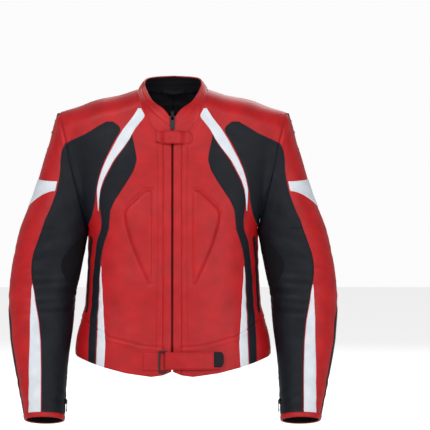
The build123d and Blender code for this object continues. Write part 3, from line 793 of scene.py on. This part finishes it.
class JACKET_OT_body_laps(bpy.types.Operator):
    """Makes the black and white panels lapped onto the torso"""
    bl_idname = "jacket.body_laps"
    bl_label = "Body panels"

    def execute(self, context):
        lap = context.scene.jacket_sizes.lap / MM
        for title, (inner, outer, low, high, back, size, slot) in BODY_LAPS.items():
            form = lapped_form(inner, outer, low, high, back)
            width = sum(eased(outer, low + (high - low) * k / 8) - eased(inner, low + (high - low) * k / 8)
                        for k in range(1, 8)) / 7
            span = (max(width, 4.0), high - low)
            for side in SIDES:
                piece = sheet_object(f"{title}_{name_of(side)}", *size, form, BODY_RELIEF[back], side, lift=lap,
                                     edge=lap + DIVE, span=span, open_edges=OPEN_LAPS.get(title, ""))
                dressed(piece, FINISHES[slot]())
                stands(piece, "torso", slot, title)
        return {"FINISHED"}


class JACKET_OT_sleeves(bpy.types.Operator):
    """Makes the sleeves: red bases with black, white and stretch panels, and the cuff bands"""
    bl_idname = "jacket.sleeves"
    bl_label = "Sleeves"

    def panel(self, title, side, size, turns, low, high, lap, span, slot, upper, cads, free="", thick=0.0):
        start, end = turns
        piece = sheet_object(f"{title}_{name_of(side)}", *size, sleeve_form(start, end, low, high),
                             arm_relief(start, end), side, lift=lap, edge=(lap + DIVE) if lap else 0.0, span=span,
                             open_edges=free)
        dressed(piece, FINISHES[slot](), thickness=thick, inner=lining() if thick else None)
        finish_arm(piece, upper)
        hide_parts(*cads)

    def execute(self, context):
        lap = context.scene.jacket_sizes.lap / MM
        thick = context.scene.jacket_sizes.leather / MM
        full = (lambda z: -armhole_turn(z), armhole_turn)
        inner_front = (lambda z: -armhole_turn(z), front_edge)
        outer_back = (back_edge, armhole_turn)
        white_band = (front_edge, stripe_edge)
        inner_stretch = (lambda z: -armhole_turn(z),
                         lambda z: -165.0 + 51 * math.sin(math.pi * min((STRETCH_TOP - z) / STRETCH_TALL, 1)))
        for side in SIDES:
            w = name_of(side)
            panels = (
                # name, columns and rows, turns, low, high, lift, span, slot, on the upper arm, CAD nodes, open
                # edges, thickness
                ("sleeve_cap", (150, 160), full, SPLIT_Z, -27.6, 0, (330, 320), "red_leather", True,
                 ("cap_red", f"shoulder_fold_{w}", f"upper_sleeve_red_{w}"), "", thick),
                ("sleeve_lower", (150, 160), full, None, SPLIT_Z, 0, (330, 320), "red_leather", False,
                 (f"forearm_red_{w}", f"elbow_gusset_{w}"), "", thick),
                ("sleeve_black_front", (70, 140), inner_front, SPLIT_Z, -90, lap, (150, 260), "black_leather",
                 True, ("cap_black", f"upper_sleeve_black_{w}"), "lb"),
                ("sleeve_black_back", (90, 140), outer_back, SPLIT_Z, -76, lap, (190, 270), "black_leather", True,
                 ("cap_black", f"upper_sleeve_back_{w}"), "rb"),
                ("forearm_black_front", (60, 150), inner_front, None, SPLIT_Z, lap, (120, 310), "black_leather",
                 False, (f"forearm_black_{w}",), "ltb"),
                ("forearm_black_back", (90, 150), outer_back, None, SPLIT_Z, lap, (170, 310), "black_leather",
                 False, (f"forearm_back_{w}",), "rtb"),
                ("forearm_stripe", (16, 130), white_band, None, -385, lap + 0.15, (22, 280), "white_leather",
                 False, (f"forearm_stripe_{w}",), "b"),
                ("inner_stretch", (40, 60), inner_stretch, SPLIT_Z, STRETCH_TOP, lap + 0.35, (60, 80),
                 "black_textile", True, (f"shoulder_fold_{w}",), "lb"),
                ("elbow_stretch", (40, 50), inner_stretch, STRETCH_TOP - STRETCH_TALL, SPLIT_Z, lap + 0.35,
                 (50, 62), "black_textile", False, (f"elbow_gusset_{w}",), "lt"),
            )
            for title, *values in panels:
                self.panel(title, side, *values)
            self.patch(side, lap)
            self.cuff(side, lap)
        return {"FINISHED"}

    def patch(self, side, lap):
        """The white patch on the biceps, narrow at the front and deeper round the outer side."""
        def form(u, v):
            spread = smooth(u)
            high = -171 + 6 * spread
            low = -192 - 36 * spread
            z = low + (high - low) * v
            start = front_edge(z) + 2
            return sleeve_point(start + (12 - start) * u, z)

        def relief(u, v, p):
            return body_relief(p.x, p.z, False)
        piece = sheet_object(f"biceps_patch_{name_of(side)}", 44, 40, form, relief, side, lift=lap + 0.4,
                             edge=lap + 1.0, span=(70, 45))
        dressed(piece, white())
        finish_arm(piece, True)
        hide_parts("biceps_patches")

    def cuff(self, side, lap):
        """The red band round the cuff's edge."""
        def form(u, v):
            turn = -180 + 360 * u
            foot = cuff_height(sleeve_point(turn, NEAR_CUFF).y)
            return sleeve_point(turn, foot + 10.5 * v - 0.4)
        w = name_of(side)
        piece = sheet_object(f"cuff_band_{w}", 140, 10, form, lambda u, v, p: 0.0, side, lift=lap + 1.2, edge=1.0,
                             span=(400, 11))
        dressed(piece, red(), thickness=3.2, inner=lining())
        stands(piece, f"forearm_{w}", "red_leather", f"cuff_band_{w}")


def along_path(points, share):
    """A point a share of the way along a line of points, eased at its corners."""
    lengths = [(b - a).length for a, b in zip(points, points[1:])]
    wanted = share * sum(lengths)
    for k, run in enumerate(lengths):
        if wanted <= run or k == len(lengths) - 1:
            t = wanted / run if run else 0.0
            before = points[max(k - 1, 0)]
            after = points[min(k + 2, len(points) - 1)]
            a, b = points[k], points[k + 1]
            return 0.5 * (2 * a + (b - before) * t + (2 * before - 5 * a + 4 * b - after) * t * t
                          + (3 * a - before - 3 * b + after) * t ** 3)
        wanted -= run
    return points[-1]


class JACKET_OT_collar(bpy.types.Operator):
    """Makes the standing collar with its rolled rim, and the hanger loop inside it"""
    bl_idname = "jacket.collar"
    bl_label = "Collar"

    def execute(self, context):
        foot = [body_point(x + 0.01, z, False) for x, z in NECKLINE]
        foot += [body_point(x + 0.01, z, True) for x, z in reversed(BACK_NECK[:-1])]
        rim = [Vector((x, y, z)) for x, z, y in COLLAR_RIM]

        def form(u, v):
            share, sign = (2 * u, 1) if u <= 0.5 else (2 - 2 * u, -1)
            low, high = along_path(foot, share), along_path(rim, share)
            low.z -= 1.5 + 4.5 * smooth((share - 0.5) / 0.2)
            out = Vector((low.x, low.y * 0.9, 0)).normalized()
            place = low + (high - low) * v + out * (2.5 * math.sin(math.pi * v) + 1.2 * (1 - v))
            return Vector((place.x * sign, place.y, place.z))

        def relief(u, v, p):
            return -1.0 * math.exp(-((v - 0.62) / 0.05) ** 2) + ripple(p, 40, 0.8)
        collar = sheet_object("collar", 220, 26, form, relief, span=(440, 44))
        dressed(collar, red(), thickness=3.4, inner=lining())
        stands(collar, "torso", "red_leather", "collar")

        low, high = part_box("hanger_loop")

        def loop_form(u, v):
            bow = 4.0 * math.sin(math.pi * u)
            return Vector(((low.x + (high.x - low.x) * u) / MM, high.y / MM - bow * 0.5,
                           (low.z + (high.z - low.z) * v) / MM - bow))
        loop = sheet_object("hanger_loop", 20, 4, loop_form, lambda u, v, p: 0.0, 1, span=(44, 8))
        # 24242B is the painted highlight on the webbing's thread crowns
        dressed(loop, cloth("black_polyester_webbing", "#0E0E12", "#24242B", 1.0), thickness=1.2)
        stands(loop, "torso", "black_textile", "hanger_loop")
        return {"FINISHED"}


# ------------------------------------------------------------ closures
def joint_line(name):
    """A joint's axis as a vector."""
    return Vector(JOINTS[name]["axis"]).normalized()


def block(bm, centre, size, frame_axes):
    """A cube in a bmesh, sized along three directions; gives back its vertices."""
    made = bmesh.ops.create_cube(bm, size=1.0)["verts"]
    for vert in made:
        vert.co = centre + sum((axis * (c * s) for axis, c, s in zip(frame_axes, vert.co, size)), Vector())
    return made


def mesh_object(name, bm, material):
    """Turns a bmesh into a named object with one material."""
    bmesh.ops.recalc_face_normals(bm, faces=bm.faces[:])
    made = object_from(name, bm)
    made.data.materials.append(material)
    return made


def rounded(made, width, segments=3):
    """Gives a hard piece its rounded edges."""
    bevel = made.modifiers.new("edges", "BEVEL")
    bevel.width = width * MM
    bevel.segments = segments
    bevel.limit_method = "ANGLE"
    return made


# the sliders' parts: across, along and out of the zip
SLIDER_PLATE = (7.5 * MM, 11 * MM, 2.2 * MM)
SLIDER_BRIDGE = (2.4 * MM, 6 * MM, 1.8 * MM)
PULL_STEM = (4.4 * MM, 17 * MM, 1.4 * MM)
PULL_TIP = (5.6 * MM, 5 * MM, 1.9 * MM)
TOOTH, TOOTH_PITCH = (2.6 * MM, 1.3 * MM, 1.5 * MM), 2.2 * MM
TAPE_WIDTH = 26                  # mm, of the front zip


def slider_and_pull(name, line, out, with_pull):
    """A zip slider: a waisted body, its bridge and, on the small ones, a pull lying along the zip."""
    box_low, box_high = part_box(name)
    beside = out.cross(line).normalized()
    axes = (beside, line, out)
    corners = [Vector((x, y, z)) for x in (box_low.x, box_high.x) for y in (box_low.y, box_high.y)
               for z in (box_low.z, box_high.z)]
    centre = (box_low + box_high) / 2
    reach = max((c - centre).dot(line) for c in corners)
    bm = bmesh.new()
    start = centre - line * reach * (0.62 if with_pull else 0.0) - out * (1.8 * MM if with_pull else 0.0)
    plate = block(bm, start, SLIDER_PLATE, axes)
    for vert in plate:
        if (vert.co - start).dot(line) > 0:
            vert.co -= beside * (vert.co - start).dot(beside) * 0.35
    block(bm, start + out * 1.8 * MM, SLIDER_BRIDGE, axes)
    if with_pull:
        block(bm, start + line * 10 * MM + out * 2.2 * MM, PULL_STEM, axes)
        block(bm, start + line * 19 * MM + out * 2.2 * MM, PULL_TIP, axes)
    made = rounded(mesh_object(name, bm, enamel("black_enamelled_zinc", "#1B1B1F", 0.6, 0.32)), 0.5)
    stands(made, name, "black_metal", name)


class JACKET_OT_front_zip(bpy.types.Operator):
    """Makes the front zip: its tapes, two rows of teeth, the slider and the hanging pull"""
    bl_idname = "jacket.front_zip"
    bl_label = "Front zip"

    def execute(self, context):
        down = joint_line("main_zip_slide")
        out = Vector((0, down.z, -down.y))
        low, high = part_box("zip_chain")
        top = Vector((0, high.y, high.z))
        length = (high.z - low.z) / -down.z
        beside = Vector((1, 0, 0))
        axes = (beside, down, out)
        bm = bmesh.new()
        for k in range(int(length / TOOTH_PITCH)):
            hand = 1 if k % 2 else -1
            block(bm, top + down * (k + 0.5) * TOOTH_PITCH + beside * hand * 0.7 * MM - out * 1.4 * MM,
                  TOOTH, axes)
        teeth = mesh_object("zip_teeth", bm, enamel("black_nylon_teeth", "#141417", 0.0, 0.4))
        stands(teeth, "torso", "black_metal", "zip_chain")

        def tape_form(u, v):
            place = top + beside * (u - 0.5) * TAPE_WIDTH * MM + down * (1 - v) * length - out * 2.9 * MM
            return place / MM
        tape = sheet_object("zip_tape", 24, 200, tape_form, lambda u, v, p: 0.12 * math.sin(u * 60), 1,
                            span=(TAPE_WIDTH, 468))
        dressed(tape, zip_cloth(), thickness=0.6)
        stands(tape, "torso", "black_textile", "zip_tape")
        slider_and_pull("zip_slider", down, out, False)

        pull_low, pull_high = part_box("zip_pull")
        pivot = Vector(JOINTS["main_zip_pull"]["pos_m"])
        span = (pull_high.z - pull_low.z) / -down.z
        bm = bmesh.new()
        for hand in (1, -1):
            block(bm, pivot + down * 3.2 * MM + beside * hand * 3.8 * MM, (2.2 * MM, 9 * MM, 1.7 * MM), axes)
        block(bm, pivot + down * 0.2 * MM, (7 * MM, 1.7 * MM, 1.5 * MM), axes)
        tail = span - 9 * MM
        block(bm, pivot + down * (7.5 * MM + tail / 2), (9.8 * MM, tail, 2.0 * MM), axes)
        block(bm, pivot + down * (7.5 * MM + tail * 0.55), (6.4 * MM, tail * 0.62, 2.7 * MM), axes)
        pull = rounded(mesh_object("zip_pull", bm, enamel("black_moulded_pull", "#17181C", 0.1, 0.45)), 0.7)
        stands(pull, "zip_pull", "black_metal", "zip_pull")
        return {"FINISHED"}


class JACKET_OT_throat_tab(bpy.types.Operator):
    """Makes the leather tab that closes the throat over the zip"""
    bl_idname = "jacket.throat_tab"
    bl_label = "Throat tab"

    def execute(self, context):
        low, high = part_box("throat_tab")
        down = joint_line("main_zip_slide")
        out = Vector((0, down.z, -down.y))
        length = (high.x - low.x) / MM
        left = low.x / MM
        height = 26.5
        axis_z = (low.z + high.z) / 2 / MM + 0.6

        def arch(x):
            if x >= 0:
                return 2.6 + 8.6 * smooth((31 - x) / 20)
            return 3.4 + 7.8 * smooth((28 + x) / 16)

        def form(u, v):
            x = left + length * u
            taper = 1.0
            if x > left + length - 10:
                taper = math.sqrt(max(1 - ((x - left - length + 10) / 10.5) ** 2, 0.05))
            low_clip = 0.62 * max(left + 9 - x, 0)
            down_mm = (height / 2) * (1 - 2 * v) * taper
            if down_mm > 0:
                down_mm = min(down_mm, height / 2 - low_clip)
            base = Vector((x, -80 + 0.071 * (axis_z + 25), axis_z))
            return base + down * down_mm + out * arch(x)

        def relief(u, v, p):
            return ripple(p, 22, 0.35)
        tab = sheet_object("throat_tab", 90, 30, form, relief, edge=0.7, span=(length, height))
        dressed(tab, red(), thickness=2.2)
        stands(tab, "throat_tab", "red_leather", "throat_tab")
        places = [(0.04 + 0.9 * k / 40, 0.1) for k in range(41)]
        places += [(0.94, 0.1 + 0.8 * k / 12) for k in range(13)]
        places += [(0.94 - 0.9 * k / 40, 0.9) for k in range(41)]
        sew("throat_tab_stitches", path_on(form, relief, places, 0.0), 1, thread("red", RED_THREAD), "throat_tab",
            "red_leather")
        return {"FINISHED"}


class JACKET_OT_waist_strap(bpy.types.Operator):
    """Makes the waist adjuster: its keeper, the moulded loop, the strap and the dark end patch"""
    bl_idname = "jacket.waist_strap"
    bl_label = "Waist strap"

    def relief(self, u, v, p):
        return ripple(p, 26, 0.5)

    def strip(self, title, body, slot, lift, thickness, size, ends=(0, 0)):
        low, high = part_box(title)
        x0, x1 = (low.x / MM + ends[0], high.x / MM + ends[1])
        z0, z1 = low.z / MM, high.z / MM

        def form(u, v):
            x = x0 + (x1 - x0) * u
            sign = 1 if x >= 0 else -1
            round_end = math.sqrt(max(1 - max((x - x1 + 6) / 6.5, 0) ** 2, 0.1)) if x1 > 60 else 1.0
            z_mid = (z0 + z1) / 2
            z = z_mid + (z1 - z0) / 2 * (2 * v - 1) * round_end
            point = body_point(abs(x), z, False)
            wedge = 3.2 * smooth((46 - x) / 40) * v if title == "waist_strap" else 0.0
            return Vector((point.x * sign, point.y - lift - wedge, point.z))
        piece = sheet_object(title, *size, form, self.relief, edge=0.6, span=(x1 - x0, z1 - z0))
        dressed(piece, FINISHES[slot](), thickness=thickness)
        stands(piece, body, slot, title)
        return form

    def execute(self, context):
        self.strip("strap_keeper", "torso", "red_leather", 1.6, 1.6, (40, 30), (0, 6))
        form = self.strip("waist_strap", "waist_strap", "red_leather", 7.2, 2.4, (110, 30))
        self.strip("strap_end_patch", "waist_strap", "black_leather", 8.6, 1.2, (30, 30))
        for title, level in (("low", 0.09), ("high", 0.91)):
            places = [(0.03 + 0.92 * k / 60, level) for k in range(61)]
            sew(f"strap_stitches_{title}", path_on(form, self.relief, places, 0.0), 1, thread("red", RED_THREAD),
                "waist_strap", "red_leather")

        low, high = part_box("strap_loop")
        bm = bmesh.new()
        width, tall = high.x - low.x, high.z - low.z
        centre = (low + high) / 2
        axes = (Vector((1, 0, 0)), Vector((0, 1, 0)), Vector((0, 0, 1)))
        bar, thick = 3.6 * MM, 3.0 * MM
        front = low.y + 2.0 * MM
        for hand in (1, -1):
            block(bm, Vector((centre.x + hand * (width - bar) / 2, front, centre.z)), (bar, thick, tall), axes)
            block(bm, Vector((centre.x, front, centre.z + hand * (tall - bar) / 2)), (width - bar, thick, bar),
                  axes)
        loop = rounded(mesh_object("strap_loop", bm, enamel("black_moulded_acetal", "#131316", 0.0, 0.42)), 1.0)
        stands(loop, "torso", "black_plastic", "strap_loop")
        return {"FINISHED"}


CUFF_ZIP_FOOT, CUFF_ZIP_LENGTH, CUFF_ZIP_TURN = -655, 78, -183


class JACKET_OT_small_zips(bpy.types.Operator):
    """Makes the side pocket zips and the cuff zips with their sliders"""
    bl_idname = "jacket.small_zips"
    bl_label = "Small zips"

    def execute(self, context):
        for side in SIDES:
            w = name_of(side)
            low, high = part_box("pocket_zips")
            top, foot = high.z / MM, low.z / MM

            def pocket_form(u, v):
                z = foot + (top - foot) * v
                x = 173 - 6 * v + 6 * u + 4 * (1 - v)
                return body_point(min(x, eased(TORSO, z) - 0.5), z, False)
            strip = sheet_object(f"pocket_zip_{w}", 12, 90, pocket_form, BODY_RELIEF[False], side, lift=1.1,
                                 edge=1.4, span=(9, 160))
            dressed(strip, zip_cloth())
            stands(strip, "torso", "black_textile", "pocket_zips")
            line = joint_line(f"pocket_zip_slide_{w}")
            out = Vector((0.856 * side, -0.517, 0))
            out = (out - line * out.dot(line)).normalized()
            slider_and_pull(f"pocket_slider_{w}", line, out, True)

            def cuff_form(u, v):
                z = CUFF_ZIP_FOOT + CUFF_ZIP_LENGTH * v
                turn = CUFF_ZIP_TURN + 7 * u
                return sleeve_point(turn, z)

            def cuff_relief(u, v, p):
                return sleeve_relief(CUFF_ZIP_TURN + 7 * u, p.z)
            strip = sheet_object(f"cuff_zip_{w}", 12, 60, cuff_form, cuff_relief, side, lift=1.9, edge=1.6,
                                 span=(6, CUFF_ZIP_LENGTH))
            dressed(strip, zip_cloth())
            stands(strip, f"forearm_{w}", "black_textile", f"cuff_zip_{w}")
            line = -joint_line(f"cuff_zip_slide_{w}")
            out = Vector((-side, 0, 0))
            out = (out - line * out.dot(line)).normalized()
            slider_and_pull(f"cuff_slider_{w}", line, out, True)
        return {"FINISHED"}


class JACKET_OT_seam_stitches(bpy.types.Operator):
    """Makes the topstitching beside the laps and seams"""
    bl_idname = "jacket.seam_stitches"
    bl_label = "Topstitching"

    def execute(self, context):
        reds, greys = thread("red", RED_THREAD), thread("charcoal", "#33363D")
        fronts = base_form(18.0, None, False)
        for side in SIDES:
            w = name_of(side)
            path = path_on(fronts, BODY_RELIEF[False], [(0.035, 0.02 + 0.93 * k / 120) for k in range(121)], 0.1)
            sew(f"placket_stitches_{w}", path, side, reds, "torso", "red_leather")
            for title in ("chest_black", "shoulder_black", "back_black", "back_shoulder_black"):
                inner, outer, low, high, back, *_ = BODY_LAPS[title]
                form = lapped_form(inner, outer, low, high, back)
                for edge in (0.05, 0.95):
                    places = [(edge, 0.01 + 0.97 * k / 100) for k in range(101)]
                    sew(f"{title}_stitches_{w}_{int(edge * 100)}", path_on(form, BODY_RELIEF[back], places, 0.8),
                        side, greys, "torso", "black_leather")
        return {"FINISHED"}


FLOOR_DROP = 0.08                # the floor lies this far under the jacket, which hangs as on a form
CAMERA_PLACE = (0.088, -0.2415)  # x and z
CAMERA_DISTANCE, FRAME_WIDTH = 5.0, 0.903


class JACKET_OT_stage(bpy.types.Operator):
    """Sets the pale floor, the soft lights and the camera"""
    bl_idname = "jacket.stage"
    bl_label = "Stage"

    def light(self, name, place, aim, size, power):
        """A round soft light, turned to what it lights."""
        data = bpy.data.lights.new(name, "AREA")
        data.shape = "DISK"
        data.size = size
        data.energy = power
        made = linked(name, data)
        made.location = place
        made.rotation_euler = (Vector(aim) - Vector(place)).to_track_quat("-Z", "Y").to_euler()

    def execute(self, context):
        low, high = CAD_BOUNDS
        middle = (low + high) / 2
        world = context.scene.world or bpy.data.worlds.new("studio")
        context.scene.world = world
        world.use_nodes = True
        backdrop = world.node_tree.nodes["Background"]
        backdrop.inputs["Color"].default_value = (1, 1, 1, 1)
        seen_directly = node(world.node_tree, "ShaderNodeLightPath").outputs["Is Camera Ray"]
        bright = node(world.node_tree, "ShaderNodeMapRange", None, {"Value": seen_directly}, To_Min=0.38,
                      To_Max=0.97)
        world.node_tree.links.new(bright.outputs["Result"], backdrop.inputs["Strength"])
        bm = bmesh.new()
        bmesh.ops.create_grid(bm, x_segments=2, y_segments=2, size=12.0)
        bmesh.ops.translate(bm, verts=bm.verts[:], vec=(0, 0, low.z - FLOOR_DROP))
        material, tree, shader = start_material("matt_white_paper_floor")
        if tree:
            place = node(tree, "ShaderNodeTexCoord").outputs["Object"]
            tooth = node(tree, "ShaderNodeTexNoise", None, {"Vector": place}, Scale=180.0)
            relief = node(tree, "ShaderNodeBump", None, {"Height": tooth.outputs["Fac"]}, Strength=0.05)
            glow = node(tree, "ShaderNodeMath", {"operation": "MULTIPLY"},
                        {0: node(tree, "ShaderNodeLightPath").outputs["Is Camera Ray"]})
            glow.inputs[1].default_value = 0.5
            feed(tree, shader, {"Normal": relief.outputs["Normal"], "Emission Strength": glow.outputs["Value"]},
                 Base_Color=(0.92, 0.92, 0.92, 1), Roughness=0.9, Emission_Color=(1, 1, 1, 1))
        mesh_object("floor", bm, material)
        self.light("key", (-1.6, -3.0, 1.6), middle, 2.2, 62)
        self.light("fill", (1.6, -3.0, 0.5), middle, 2.2, 34)
        self.light("back", (0.5, 2.8, 1.8), middle, 2.4, 40)
        data = bpy.data.cameras.new("camera")
        data.sensor_width = 36.0
        data.lens = data.sensor_width * CAMERA_DISTANCE / FRAME_WIDTH
        camera = linked("camera", data)
        camera.location = (CAMERA_PLACE[0], middle.y - CAMERA_DISTANCE, CAMERA_PLACE[1])
        camera.rotation_euler = (math.radians(90), 0, 0)
        context.scene.camera = camera
        context.scene.view_settings.view_transform = "Standard"
        return {"FINISHED"}


OPERATORS = (JACKET_OT_stage, JACKET_OT_body, JACKET_OT_body_laps, JACKET_OT_sleeves, JACKET_OT_collar,
             JACKET_OT_front_zip, JACKET_OT_throat_tab, JACKET_OT_waist_strap, JACKET_OT_small_zips,
             JACKET_OT_seam_stitches)


class JACKET_PT_panel(bpy.types.Panel):
    """Lists the jacket's pieces and its colours"""
    bl_idname = "JACKET_PT_panel"
    bl_label = "Riding jacket"
    bl_space_type = "VIEW_3D"
    bl_region_type = "UI"
    bl_category = "Jacket"

    def draw(self, context):
        for title in JacketColours.__annotations__:
            self.layout.prop(context.scene.jacket_colours, title)
        for title in JacketSizes.__annotations__:
            self.layout.prop(context.scene.jacket_sizes, title)
        for made in OPERATORS:
            self.layout.operator(made.bl_idname)


CLASSES = (JacketColours, JacketSizes, *OPERATORS, JACKET_PT_panel)


def register():
    for made in CLASSES:
        bpy.utils.register_class(made)
    bpy.types.Scene.jacket_colours = bpy.props.PointerProperty(type=JacketColours)
    bpy.types.Scene.jacket_sizes = bpy.props.PointerProperty(type=JacketSizes)


def unregister():
    del bpy.types.Scene.jacket_sizes
    del bpy.types.Scene.jacket_colours
    for made in reversed(CLASSES):
        bpy.utils.unregister_class(made)


def main():
    register()
    for made in OPERATORS:
        family, action = made.bl_idname.split(".")
        getattr(getattr(bpy.ops, family), action)()


if __name__ == "__main__":
    main()
